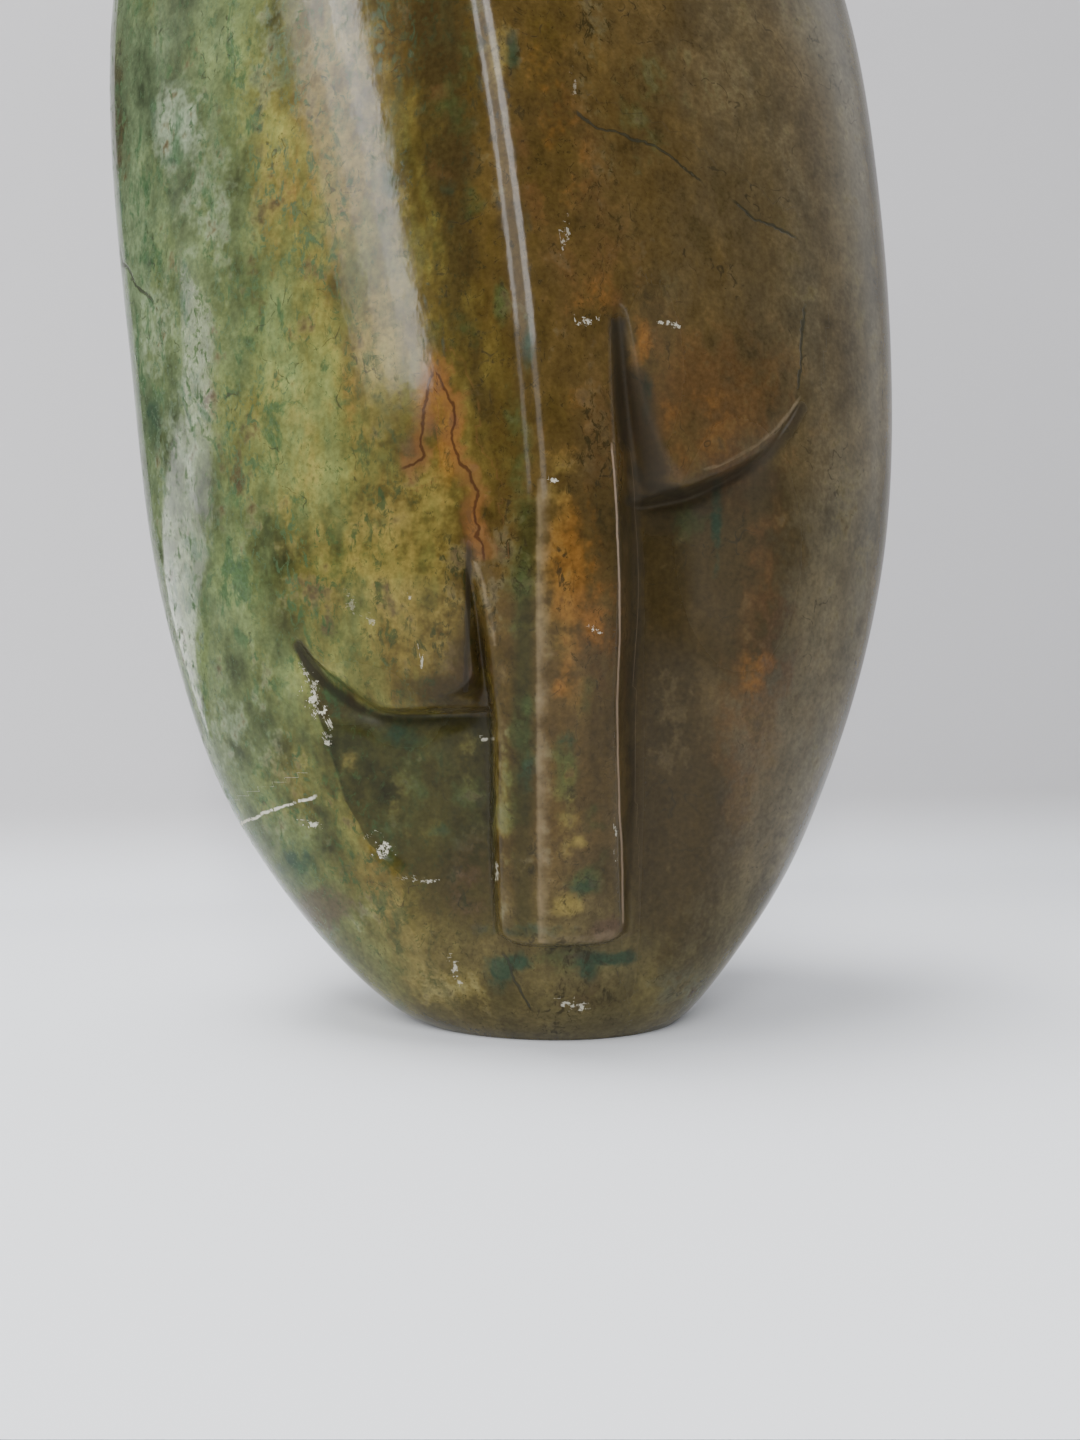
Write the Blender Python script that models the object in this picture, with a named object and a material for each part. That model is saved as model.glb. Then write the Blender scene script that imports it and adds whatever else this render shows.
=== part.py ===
"""Stone face sculpture: an abstract head carved from one block of polished green and brown stone.

The form is a leaning egg that stands on a small flat base. A rounded ridge runs down the forehead and
becomes a long straight nose. Beside the nose the cheeks are cut back flat, and each cut stops at the edge
of a heavy eyelid. The two eyelids hang at different heights. There is no mouth, and the back is plain.

+Z is up, the face looks along -Y, and the origin is the middle of the flat underside.
"""

import bmesh
import bpy
import numpy as np

# The driving size, in metres. Every other place and depth is a share of it, in thousandths of the height.
HEIGHT = 0.315

# The bare egg, from the base up: height, then its reach to the left, right, front and back.
EGG = (
    (0, 90, 96, 65, 60),
    (4, 99, 101, 70, 64),
    (14, 115, 111, 80, 73),
    (48, 152, 138, 104, 98),
    (86, 184, 164, 122, 116),
    (155, 228, 197, 142, 133),
    (225, 255, 221, 155, 143),
    (325, 279, 242, 166, 152),
    (430, 292, 248, 171, 158),
    (570, 306, 240, 168, 158),
    (708, 308, 218, 152, 146),
    (830, 279, 166, 122, 119),
    (920, 222, 97, 85, 84),
    (975, 158, 29, 47, 47),
    (1000, 67, -67, 0, 0),
)
TOP = EGG[-1][0]
UNIT = HEIGHT / TOP
# How full the egg is across: 2 is an ellipse, and the front is sharper where it has its ridge.
FRONT_FULLNESS = ((0, 1.9), (40, 1.6), (80, 1.3), (150, 1.18), (700, 1.18), (850, 1.3), (1000, 1.6))
BACK_FULLNESS = 2.2
# How far the top of the ridge is rounded, as a share of the way from it to the side.
RIDGE_ROUND = 0.03

# The eleven lines that the surface's columns follow, by number from the left side to the right.
SIDE_L, CHEEK_L, TURN_L, FOOT_L, NOSE_L, CREST, NOSE_R, FOOT_R, TURN_R, CHEEK_R, SIDE_R = range(11)

# Where they run from the base to the top: height, then place across, left of the middle being minus.
RIDGE = ((0, 9), (95, 5), (115, 2.5), (152, -0.5), (222, -3), (280, -4), (340, -6), (400, -10),
         (457, -15.5), (530, -23.5), (616, -37), (720, -53), (850, -65), (1000, -67))
NOSE_LEFT = ((0, -22), (76, -28), (150, -30), (222, -31), (245, -33.5), (280, -37.5), (313, -43),
             (360, -46), (457, -56), (616, -76), (750, -87), (900, -82), (1000, -67))
NOSE_RIGHT = ((0, 38), (76, 48), (115, 45.5), (155, 44), (222, 41), (280, 43.5), (365, 40), (450, 34),
              (616, 2), (750, -28), (900, -50), (1000, -67))
CHEEK_LEFT = ((0, -50), (58, -70), (82, -87), (111, -95), (130, -112), (160, -125), (200, -137),
              (228, -147), (263, -155), (330, -165), (500, -178), (720, -190), (900, -145), (1000, -67))
CHEEK_RIGHT = ((0, 68), (48, 82), (72, 90), (96, 100), (119, 108), (157, 113), (185, 121), (232, 138),
               (272, 146), (300, 157), (412, 161), (500, 156), (720, 100), (900, 20), (1000, -67))
# How far the nose's side walls lean out, from the nose's edge to where a cheek's cut meets them.
LEAN_LEFT = ((0, 3), (76, 4), (340, 4), (450, 6), (720, 8), (900, 5), (1000, 0))
LEAN_RIGHT = ((0, 3), (76, 6), (155, 11), (340, 13), (450, 7), (720, 8), (900, 5), (1000, 0))
# Where each eyelid turns down into the hollow beside the nose, out from the foot of the nose.
TURN_LEFT = ((0, 8), (110, 14), (180, 34), (216, 51), (222, 38), (228, 20), (234, 9), (241, 6), (313, 5),
             (350, 12), (720, 14), (900, 9), (1000, 0))
TURN_RIGHT = ((0, 5), (76, 10), (250, 22), (341, 31), (348, 29.5), (355, 26.5), (362, 22.5), (370, 18),
              (382, 13), (400, 9), (430, 7), (455, 7), (720, 12), (900, 8), (1000, 0))

# The nose's end, and how far each cheek is cut back where it meets the nose: height, then depth.
NOSE_END = 73
CUT_LEFT = ((0, 0), (16, 0), (45, 5), (72, 12), (127, 22), (190, 28), (230, 29))
CUT_RIGHT = ((0, 0), (16, 0), (45, 5), (72, 11), (127, 17), (190, 22), (270, 25), (345, 27))
CHEEK_HOLLOW = 3
# How softly each cheek's cut begins at its outer edge: from, then to, as shares of the cut's width, and
# how far the edge is rounded.
EDGE_LEFT = (-0.03, 0.04, 0.08)
EDGE_RIGHT = (-0.1, 0.75, 1.5)
# The heights between which both cuts fade in above the base.
CHEEK_START = (10, 54)

# Each eyelid's lower edge: place across, counted in lines, then height.
LID_LEFT = ((0, 262), (0.6, 264), (1, 264), (1.08, 250), (1.2, 237), (1.35, 228), (1.55, 222),
            (1.78, 218), (2, 217), (3, 218.5), (7, 219), (8, 222), (9, 240), (10, 255))
LID_RIGHT = ((0, 395), (1, 374), (2, 352), (3, 342), (7, 342), (7.5, 345.5), (8, 349.5), (8.2, 355),
             (8.4, 362), (8.6, 371.5), (8.78, 385), (8.92, 401), (9, 413), (9.4, 416), (10, 412))
# The hollow beside the nose above each eyelid's edge: height, then depth.
HOLLOW_LEFT = ((217, 17), (238, 14), (270, 9), (313, 0))
HOLLOW_RIGHT = ((341, 19), (365, 17), (397, 13), (430, 6), (455, 0))
# The gouge cut in under each eyelid. Its ends are fuller than a half wave, by this power.
GOUGE_DEPTH = 8
GOUGE_REACH = 9
GOUGE_ENDS = 0.6
# The roll of the eyelid's edge, and the share of the eyelid's width over which it begins.
LIP_ROLL = 4
LIP_REACH = 7
LIP_START = 0.17
# How the nose's two long edges are rounded: how far in from the edge, then how deep at it. The rounding
# ends between these two heights.
SHOULDER_LEFT = (12, 4)
SHOULDER_RIGHT = (4, 1)
SHOULDER_TOP = (240, 360)
# How hollow the nose's walls and the hollows beside them are, as a power.
HOLLOW_POWER = 1.5

# Rings of the surface near an eyelid's edge, from it: where the edge is sharp, and where it has faded.
SHARP_RINGS = (-38, -20, -9, -3, 0, 4.5, 12, 25)
FADED_RINGS = (-45, -32, -20, -9, 2, 13, 24, 36)
LIP_RING = 4
# Place across, then how sharp each eyelid's edge is there.
SHARP_LEFT = ((0, 0), (0.9, 1), (3, 1), (5, 0), (10, 0))
SHARP_RIGHT = ((0, 0), (5, 0), (7, 1), (9.1, 1), (10, 0))
# The two rings at the nose's end, from it: away from the nose, and on the nose.
END_RINGS_AWAY = (-9, 4)
END_RINGS_ON_NOSE = (-4, 0)
# Place across, then how near the nose it counts, and how far the end is rounded up at its corners.
END_NEAR = ((0, 0), (3, 0.7), (4, 1), (6, 1), (7, 0.7), (10, 0))
END_CORNERS = ((3, 6), (4, 6), (4.16, 2), (4.5, 0), (5.5, 0), (5.88, 2), (6, 6), (7, 6))
BASE_RINGS = (0, 1.5, 4.5, 10, 20, 32, 44, 55)
RINGS_UP_THE_NOSE = 6
RINGS_BETWEEN_LIDS = 4
RINGS_TO_THE_TOP = 25
# Places of the surface's columns across the front, counted in lines as for the eyelids.
COLUMNS = (0, 0.03, 0.12, 0.26, 0.44, 0.66, 0.86, 1, 1.08, 1.2, 1.35, 1.55, 1.78, 2, 2.5, 3, 4, 4.16,
           4.5, 4.82, 5, 5.14, 5.5, 5.88, 6, 7, 7.5, 8, 8.2, 8.4, 8.6, 8.78, 8.92, 9, 9.14, 9.34, 9.56,
           9.74, 9.88, 9.97, 10)
BACK_COLUMNS = 18


def from_top(height):
    """A measure that runs evenly over the round top: 1 at the base, 0 at the very top."""
    return np.sqrt(np.clip(1 - np.asarray(height, float) / TOP, 0, 1))


def natural_curve(xs, ys, at):
    """The smooth curve through the points, which bends as little as it can."""
    xs, ys = np.asarray(xs, float), np.asarray(ys, float)
    gaps, rises = np.diff(xs), np.diff(ys) / np.diff(xs)
    count = len(xs)
    bends = np.eye(count)
    pulls = np.zeros(count)
    for i in range(1, count - 1):
        bends[i, i - 1:i + 2] = gaps[i - 1], 2 * (gaps[i - 1] + gaps[i]), gaps[i]
        pulls[i] = 6 * (rises[i] - rises[i - 1])
    second = np.linalg.solve(bends, pulls)
    i = np.clip(np.searchsorted(xs, at) - 1, 0, count - 2)
    gap, low, high = gaps[i], at - xs[i], xs[i + 1] - at
    return ((second[i] * high**3 + second[i + 1] * low**3) / (6 * gap)
            + (ys[i] / gap - second[i] * gap / 6) * high
            + (ys[i + 1] / gap - second[i + 1] * gap / 6) * low)


def up_the_form(stations, height, column=1):
    """One column of a table of stations, read at any height on a smooth curve."""
    knots = [from_top(row[0]) for row in reversed(stations)]
    values = [row[column] for row in reversed(stations)]
    return natural_curve(knots, values, from_top(height))


def along(stations, at):
    """A line through the stations, eased so that it turns back only where they do."""
    xs, ys = (np.array(values, float) for values in zip(*stations))
    gaps = np.diff(xs)
    rises = np.diff(ys) / gaps
    slopes = np.concatenate([rises[:1], np.zeros(len(xs) - 2), rises[-1:]])
    for i in range(1, len(xs) - 1):
        if rises[i - 1] * rises[i] > 0:
            slopes[i] = 2 / (1 / rises[i - 1] + 1 / rises[i])
    at = np.clip(at, xs[0], xs[-1])
    i = np.clip(np.searchsorted(xs, at) - 1, 0, len(xs) - 2)
    t = (at - xs[i]) / gaps[i]
    eased = t * t * (3 - 2 * t)
    bend = gaps[i] * t * (1 - t) * (slopes[i] * (1 - t) - slopes[i + 1] * t)
    return ys[i] + (ys[i + 1] - ys[i]) * eased + bend


def guides(height):
    """Where the eleven lines are, from the left side to the right, at each height."""
    ridge = up_the_form(RIDGE, height)
    nose_left = up_the_form(NOSE_LEFT, height)
    nose_right = up_the_form(NOSE_RIGHT, height)
    foot_left = nose_left - up_the_form(LEAN_LEFT, height)
    foot_right = nose_right + up_the_form(LEAN_RIGHT, height)
    return (
        -up_the_form(EGG, height, 1),
        up_the_form(CHEEK_LEFT, height),
        foot_left - along(TURN_LEFT, height),
        foot_left,
        nose_left,
        ridge,
        nose_right,
        foot_right,
        foot_right + along(TURN_RIGHT, height),
        up_the_form(CHEEK_RIGHT, height),
        up_the_form(EGG, height, 2),
    )


def ramp(value, low, high):
    """0 up to low, 1 from high, and smooth between."""
    share = np.clip((value - low) / (high - low), 0, 1)
    return share * share * (3 - 2 * share)


def egg_front(across, height, lines):
    """The front of the bare egg with its ridge."""
    ridge = lines[CREST]
    side = np.where(across < ridge, lines[SIDE_L], lines[SIDE_R])
    share = (across - ridge) / (side - ridge)
    share = (np.sqrt(share**2 + RIDGE_ROUND**2) - RIDGE_ROUND) / (np.sqrt(1 + RIDGE_ROUND**2) - RIDGE_ROUND)
    full = np.clip(1 - share ** up_the_form(FRONT_FULLNESS, height), 0, 1)
    return -up_the_form(EGG, height, 3) * np.sqrt(full)


def cheek(across, height, lines, side, lid):
    """A cheek: straight from its outer edge to the foot of the nose, gouged in under the eyelid."""
    if side == "left":
        edge, foot, cut, (start, end, soft) = lines[CHEEK_L], lines[FOOT_L], CUT_LEFT, EDGE_LEFT
    else:
        edge, foot, cut, (start, end, soft) = lines[CHEEK_R], lines[FOOT_R], CUT_RIGHT, EDGE_RIGHT
    share = (across - edge) / (foot - edge)
    inside = np.clip(share, 0, 1)
    egg = egg_front(across, height, lines)
    at_edge = egg_front(edge, height, lines)
    at_foot = egg_front(foot, height, lines) + along(cut, height)
    flat = at_edge + (at_foot - at_edge) * inside + CHEEK_HOLLOW * 4 * inside * (1 - inside)
    under_lid = np.exp(-np.clip(lid - height, 0, None) / GOUGE_REACH)
    gouge = GOUGE_DEPTH * under_lid * np.sin(np.pi * np.clip(inside, 0, 1 - 1e-9)) ** GOUGE_ENDS
    cut_back = soft * np.logaddexp(0, (flat - egg) / soft) + gouge
    return egg + cut_back * ramp(share, start, end) * ramp(height, *CHEEK_START)


def eyelid(across, height, lines, side, lid):
    """An eyelid: the egg itself, rolled under at its edge and falling away beside the nose."""
    if side == "left":
        edge, turn, foot, hollow = lines[CHEEK_L], lines[TURN_L], lines[FOOT_L], HOLLOW_LEFT
    else:
        edge, turn, foot, hollow = lines[CHEEK_R], lines[TURN_R], lines[FOOT_R], HOLLOW_RIGHT
    fall = np.clip((across - turn) / (foot - turn), 0, 1)
    inside = np.clip((across - edge) / (foot - edge), 0, 1)
    roll = LIP_ROLL * np.exp(-np.clip(height - lid, 0, None) / LIP_REACH) * np.minimum(1, inside / LIP_START)
    return egg_front(across, height, lines) + roll + along(hollow, height) * fall**HOLLOW_POWER


def beside_the_nose(across, height, lines, side, lid, above_lid):
    """A cheek up to its eyelid's edge and the eyelid above it, with the step between them."""
    low = cheek(across, height, lines, side, lid)
    high = eyelid(across, height, lines, side, lid)
    return low + (high - low) * above_lid


def nose(across, height, lines, feet, place, above_end):
    """The nose's top with its rounded edges, its leaning side walls and the chin under its end."""
    egg = egg_front(across, height, lines)
    cuts = [foot - egg_front(lines[line], height, lines) for foot, line in zip(feet, (FOOT_L, FOOT_R))]
    wall = np.clip(np.where(place < CREST, place - FOOT_L, FOOT_R - place), 0, 1)
    top = egg + np.where(place < CREST, *cuts) * (1 - wall**HOLLOW_POWER)
    for edge, (width, depth) in ((lines[NOSE_L], SHOULDER_LEFT), (lines[NOSE_R], SHOULDER_RIGHT)):
        worn = depth * np.clip(1 - np.abs(across - edge) / width, 0, 1) ** 2
        top = top + worn * wall * (1 - ramp(height, *SHOULDER_TOP))
    share = np.clip((across - lines[FOOT_L]) / (lines[FOOT_R] - lines[FOOT_L]), 0, 1)
    chin = egg + cuts[0] * (1 - share) + cuts[1] * share
    return chin + (top - chin) * above_end


def front_surface(place, height, ring, lids, lips):
    """Where each point of the carved front is, across and forward."""
    lines = guides(height)
    low = np.clip(np.floor(place).astype(int), SIDE_L, CHEEK_R)
    across = np.choose(low, lines[:-1]) * (low + 1 - place) + np.choose(low, lines[1:]) * (place - low)
    above = [np.clip(ring - (lip - 1), 0, 1) for lip in lips]
    left = beside_the_nose(across, height, lines, "left", lids[0], above[0])
    right = beside_the_nose(across, height, lines, "right", lids[1], above[1])
    feet = (beside_the_nose(lines[FOOT_L], height, lines, "left", lids[0], above[0]),
            beside_the_nose(lines[FOOT_R], height, lines, "right", lids[1], above[1]))
    above_end = np.clip(ring - len(BASE_RINGS), 0, 1)
    middle = nose(across, height, lines, feet, place, above_end)
    return across, np.where(place <= FOOT_L, left, np.where(place >= FOOT_R, right, middle))


def ring_heights(places):
    """The height of every ring at the places across, and of both eyelids' edges, which two rings follow."""
    sharp, faded = np.array(SHARP_RINGS)[:, None], np.array(FADED_RINGS)[:, None]
    lids = [along(line, places) for line in (LID_LEFT, LID_RIGHT)]
    left, right = (
        lid + faded + (sharp - faded) * along(weight, places)
        for lid, weight in zip(lids, (SHARP_LEFT, SHARP_RIGHT)))
    away, on_nose = np.array(END_RINGS_AWAY)[:, None], np.array(END_RINGS_ON_NOSE)[:, None]
    end = NOSE_END + along(END_CORNERS, places) + away + (on_nose - away) * along(END_NEAR, places)
    climb = np.linspace(from_top(right[-1]), 0, RINGS_TO_THE_TOP + 2)[1:-1]
    heights = np.vstack([
        np.array(BASE_RINGS)[:, None] + 0 * places,
        end,
        np.linspace(end[-1], left[0], RINGS_UP_THE_NOSE + 2)[1:-1],
        left,
        np.linspace(left[-1], right[0], RINGS_BETWEEN_LIDS + 2)[1:-1],
        right,
        TOP * (1 - climb**2),
    ])
    return heights, lids


def carved_surface():
    """Points of the whole surface as rings of columns, front then back, in thousandths."""
    places = np.array(COLUMNS)
    heights, lids = ring_heights(places)
    lip_left = len(BASE_RINGS) + len(END_RINGS_AWAY) + RINGS_UP_THE_NOSE + LIP_RING
    lip_right = lip_left + len(SHARP_RINGS) + RINGS_BETWEEN_LIDS
    ring = np.arange(len(heights))[:, None]
    across, depth = front_surface(places, heights, ring, lids, (lip_left, lip_right))
    turn = np.pi * np.arange(1, BACK_COLUMNS) / BACK_COLUMNS
    behind = heights[:, [-1]] + (heights[:, [0]] - heights[:, [-1]]) * turn / np.pi
    left, right, reach = (up_the_form(EGG, behind, column) for column in (1, 2, 4))
    back_across = (right - left) / 2 + (right + left) / 2 * np.cos(turn)
    back_depth = reach * (1 - np.abs(np.cos(turn)) ** BACK_FULLNESS) ** 0.5
    return np.hstack([across, back_across]), np.hstack([depth, back_depth]), np.hstack([heights, behind])


def stone_material():
    material = bpy.data.materials.new("polished_stone")
    material.use_nodes = True
    shader = material.node_tree.nodes["Principled BSDF"]
    shader.inputs["Base Color"].default_value = (0.16, 0.13, 0.055, 1)
    shader.inputs["Roughness"].default_value = 0.22
    shader.inputs["Metallic"].default_value = 0
    return material


def stone_face():
    """One closed skin: rings joined by faces, a flat underside and a small cap on top."""
    across, depth, heights = (UNIT * values for values in carved_surface())
    form = bmesh.new()
    rings = [
        [form.verts.new(point) for point in zip(*ring)]
        for ring in zip(across, depth, heights)
    ]
    for low, high in zip(rings, rings[1:]):
        for i in range(len(low)):
            j = (i + 1) % len(low)
            form.faces.new((low[i], low[j], high[j], high[i]))
    form.faces.new(list(reversed(rings[0])))
    top = form.verts.new((UNIT * EGG[-1][2], 0, HEIGHT))
    last = rings[-1]
    for i in range(len(last)):
        form.faces.new((last[i], last[(i + 1) % len(last)], top))
    bmesh.ops.recalc_face_normals(form, faces=form.faces)
    mesh = bpy.data.meshes.new("stone_face")
    form.to_mesh(mesh)
    form.free()
    mesh.shade_smooth()
    mesh.set_sharp_from_angle(angle=np.radians(35))
    mesh.materials.append(stone_material())
    piece = bpy.data.objects.new("stone_face", mesh)
    bpy.context.scene.collection.objects.link(piece)
    return piece


for leftover in list(bpy.data.objects):
    bpy.data.objects.remove(leftover)
stone_face()
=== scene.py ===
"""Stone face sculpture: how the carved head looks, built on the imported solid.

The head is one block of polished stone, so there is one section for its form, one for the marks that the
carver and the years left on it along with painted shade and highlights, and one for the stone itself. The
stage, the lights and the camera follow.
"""

import math

import bpy
import numpy as np
from mathutils import Matrix, Quaternion, Vector, noise


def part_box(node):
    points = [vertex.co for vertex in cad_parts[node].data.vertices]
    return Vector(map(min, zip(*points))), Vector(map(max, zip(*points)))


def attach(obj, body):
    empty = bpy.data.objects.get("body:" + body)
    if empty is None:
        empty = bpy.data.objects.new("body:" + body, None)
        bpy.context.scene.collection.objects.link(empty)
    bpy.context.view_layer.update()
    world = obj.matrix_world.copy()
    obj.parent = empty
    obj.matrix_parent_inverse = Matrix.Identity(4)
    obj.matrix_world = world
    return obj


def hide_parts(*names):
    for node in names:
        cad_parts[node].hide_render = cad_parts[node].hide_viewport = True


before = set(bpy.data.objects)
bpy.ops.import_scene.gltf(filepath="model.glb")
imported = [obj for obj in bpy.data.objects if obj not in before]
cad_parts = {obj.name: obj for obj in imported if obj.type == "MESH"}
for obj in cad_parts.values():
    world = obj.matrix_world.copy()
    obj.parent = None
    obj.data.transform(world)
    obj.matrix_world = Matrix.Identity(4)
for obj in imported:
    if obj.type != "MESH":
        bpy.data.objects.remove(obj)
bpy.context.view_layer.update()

# The carved stone.
# One block of polished green and brown stone, cut to a leaning egg on a small flat base. The ridge, the
# nose, the eyelids and the flat cheeks are carved into its front, and the back is left plain.
# It stands for the whole solid, so its form follows the same lines as the solid and has the same size.
low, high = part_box("stone_face")

# The bare egg, from the base up: height, then its reach to the left, right, front and back.
EGG = (
    (0, 90, 96, 65, 60),
    (4, 99, 101, 70, 64),
    (14, 115, 111, 80, 73),
    (48, 152, 138, 104, 98),
    (86, 184, 164, 122, 116),
    (155, 228, 197, 142, 133),
    (225, 255, 221, 155, 143),
    (325, 279, 242, 166, 152),
    (430, 292, 248, 171, 158),
    (570, 306, 240, 168, 158),
    (708, 308, 218, 152, 146),
    (830, 279, 166, 122, 119),
    (920, 222, 97, 85, 84),
    (975, 158, 29, 47, 47),
    (1000, 67, -67, 0, 0),
)
TOP = EGG[-1][0]
UNIT = (high.z - low.z) / TOP
# How full the egg is across: 2 is an ellipse, and the front is sharper where it has its ridge.
FRONT_FULLNESS = ((0, 1.9), (40, 1.6), (80, 1.3), (150, 1.18), (700, 1.18), (850, 1.3), (1000, 1.6))
BACK_FULLNESS = 2.2
# How far the top of the ridge is rounded, as a share of the way from it to the side.
RIDGE_ROUND = 0.03

# The eleven lines that the surface's columns follow, by number from the left side to the right.
SIDE_L, CHEEK_L, TURN_L, FOOT_L, NOSE_L, CREST, NOSE_R, FOOT_R, TURN_R, CHEEK_R, SIDE_R = range(11)

# Where they run from the base to the top: height, then place across, left of the middle being minus.
RIDGE = ((0, 9), (95, 5), (115, 2.5), (152, -0.5), (222, -3), (280, -4), (340, -6), (400, -10),
         (457, -15.5), (530, -23.5), (616, -37), (720, -53), (850, -65), (1000, -67))
NOSE_LEFT = ((0, -22), (76, -28), (150, -30), (222, -31), (245, -33.5), (280, -37.5), (313, -43),
             (360, -46), (457, -56), (616, -76), (750, -87), (900, -82), (1000, -67))
NOSE_RIGHT = ((0, 38), (76, 48), (115, 45.5), (155, 44), (222, 41), (280, 43.5), (365, 40), (450, 34),
              (616, 2), (750, -28), (900, -50), (1000, -67))
CHEEK_LEFT = ((0, -50), (58, -70), (82, -87), (111, -95), (130, -112), (160, -125), (200, -137),
              (228, -147), (263, -155), (330, -165), (500, -178), (720, -190), (900, -145), (1000, -67))
CHEEK_RIGHT = ((0, 68), (48, 82), (72, 90), (96, 100), (119, 108), (157, 113), (185, 121), (232, 138),
               (272, 146), (300, 157), (412, 161), (500, 156), (720, 100), (900, 20), (1000, -67))
# How far the nose's side walls lean out, from the nose's edge to where a cheek's cut meets them.
LEAN_LEFT = ((0, 3), (76, 4), (340, 4), (450, 6), (720, 8), (900, 5), (1000, 0))
LEAN_RIGHT = ((0, 3), (76, 6), (155, 11), (340, 13), (450, 7), (720, 8), (900, 5), (1000, 0))
# Where each eyelid turns down into the hollow beside the nose, out from the foot of the nose.
TURN_LEFT = ((0, 8), (110, 14), (180, 34), (216, 51), (222, 38), (228, 20), (234, 9), (241, 6), (313, 5),
             (350, 12), (720, 14), (900, 9), (1000, 0))
TURN_RIGHT = ((0, 5), (76, 10), (250, 22), (341, 31), (348, 29.5), (355, 26.5), (362, 22.5), (370, 18),
              (382, 13), (400, 9), (430, 7), (455, 7), (720, 12), (900, 8), (1000, 0))

# The nose's end, and how far each cheek is cut back where it meets the nose: height, then depth.
NOSE_END = 73
CUT_LEFT = ((0, 0), (16, 0), (45, 5), (72, 12), (127, 22), (190, 28), (230, 29))
CUT_RIGHT = ((0, 0), (16, 0), (45, 5), (72, 11), (127, 17), (190, 22), (270, 25), (345, 27))
CHEEK_HOLLOW = 3
# How softly each cheek's cut begins at its outer edge: from, then to, as shares of the cut's width, and
# how far the edge is rounded.
EDGE_LEFT = (-0.03, 0.04, 0.08)
EDGE_RIGHT = (-0.1, 0.75, 1.5)
# The heights between which both cuts fade in above the base.
CHEEK_START = (10, 54)

# Each eyelid's lower edge: place across, counted in lines, then height.
LID_LEFT = ((0, 262), (0.6, 264), (1, 264), (1.08, 250), (1.2, 237), (1.35, 228), (1.55, 222),
            (1.78, 218), (2, 217), (3, 218.5), (7, 219), (8, 222), (9, 240), (10, 255))
LID_RIGHT = ((0, 395), (1, 374), (2, 352), (3, 342), (7, 342), (7.5, 345.5), (8, 349.5), (8.2, 355),
             (8.4, 362), (8.6, 371.5), (8.78, 385), (8.92, 401), (9, 413), (9.4, 416), (10, 412))
# The hollow beside the nose above each eyelid's edge: height, then depth.
HOLLOW_LEFT = ((217, 17), (238, 14), (270, 9), (313, 0))
HOLLOW_RIGHT = ((341, 19), (365, 17), (397, 13), (430, 6), (455, 0))
# The gouge cut in under each eyelid. Its ends are fuller than a half wave, by this power.
GOUGE_DEPTH = 8
GOUGE_REACH = 9
GOUGE_ENDS = 0.6
# The roll of the eyelid's edge, and the share of the eyelid's width over which it begins.
LIP_ROLL = 4
LIP_REACH = 7
LIP_START = 0.17
# How the nose's two long edges are rounded: how far in from the edge, then how deep at it. The rounding
# ends between these two heights.
SHOULDER_LEFT = (12, 4)
SHOULDER_RIGHT = (4, 1)
SHOULDER_TOP = (240, 360)
# How hollow the nose's walls and the hollows beside them are, as a power.
HOLLOW_POWER = 1.5

# Rings of the surface near an eyelid's edge, from it: where the edge is sharp, and where it has faded.
SHARP_RINGS = (-38, -20, -9, -3, 0, 4.5, 12, 25)
FADED_RINGS = (-45, -32, -20, -9, 2, 13, 24, 36)
LIP_RING = 4
# Place across, then how sharp each eyelid's edge is there.
SHARP_LEFT = ((0, 0), (0.9, 1), (3, 1), (5, 0), (10, 0))
SHARP_RIGHT = ((0, 0), (5, 0), (7, 1), (9.1, 1), (10, 0))
# The two rings at the nose's end, from it: away from the nose, and on the nose.
END_RINGS_AWAY = (-9, 4)
END_RINGS_ON_NOSE = (-4, 0)
# Place across, then how near the nose it counts, and how far the end is rounded up at its corners.
END_NEAR = ((0, 0), (3, 0.7), (4, 1), (6, 1), (7, 0.7), (10, 0))
END_CORNERS = ((3, 6), (4, 6), (4.16, 2), (4.5, 0), (5.5, 0), (5.88, 2), (6, 6), (7, 6))
BASE_RINGS = (0, 1.5, 4.5, 10, 20, 32, 44, 55)
RINGS_UP_THE_NOSE = 6
RINGS_BETWEEN_LIDS = 4
RINGS_TO_THE_TOP = 25
# Places of the surface's columns across the front, counted in lines as for the eyelids.
COLUMNS = (0, 0.03, 0.12, 0.26, 0.44, 0.66, 0.86, 1, 1.08, 1.2, 1.35, 1.55, 1.78, 2, 2.5, 3, 4, 4.16,
           4.5, 4.82, 5, 5.14, 5.5, 5.88, 6, 7, 7.5, 8, 8.2, 8.4, 8.6, 8.78, 8.92, 9, 9.14, 9.34, 9.56,
           9.74, 9.88, 9.97, 10)


def from_top(height):
    """A measure that runs evenly over the round top: 1 at the base, 0 at the very top."""
    return np.sqrt(np.clip(1 - np.asarray(height, float) / TOP, 0, 1))


def natural_curve(xs, ys, at):
    """The smooth curve through the points, which bends as little as it can."""
    xs, ys = np.asarray(xs, float), np.asarray(ys, float)
    gaps, rises = np.diff(xs), np.diff(ys) / np.diff(xs)
    count = len(xs)
    bends = np.eye(count)
    pulls = np.zeros(count)
    for i in range(1, count - 1):
        bends[i, i - 1:i + 2] = gaps[i - 1], 2 * (gaps[i - 1] + gaps[i]), gaps[i]
        pulls[i] = 6 * (rises[i] - rises[i - 1])
    second = np.linalg.solve(bends, pulls)
    i = np.clip(np.searchsorted(xs, at) - 1, 0, count - 2)
    gap, low, high = gaps[i], at - xs[i], xs[i + 1] - at
    return ((second[i] * high**3 + second[i + 1] * low**3) / (6 * gap)
            + (ys[i] / gap - second[i] * gap / 6) * high
            + (ys[i + 1] / gap - second[i + 1] * gap / 6) * low)


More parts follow.
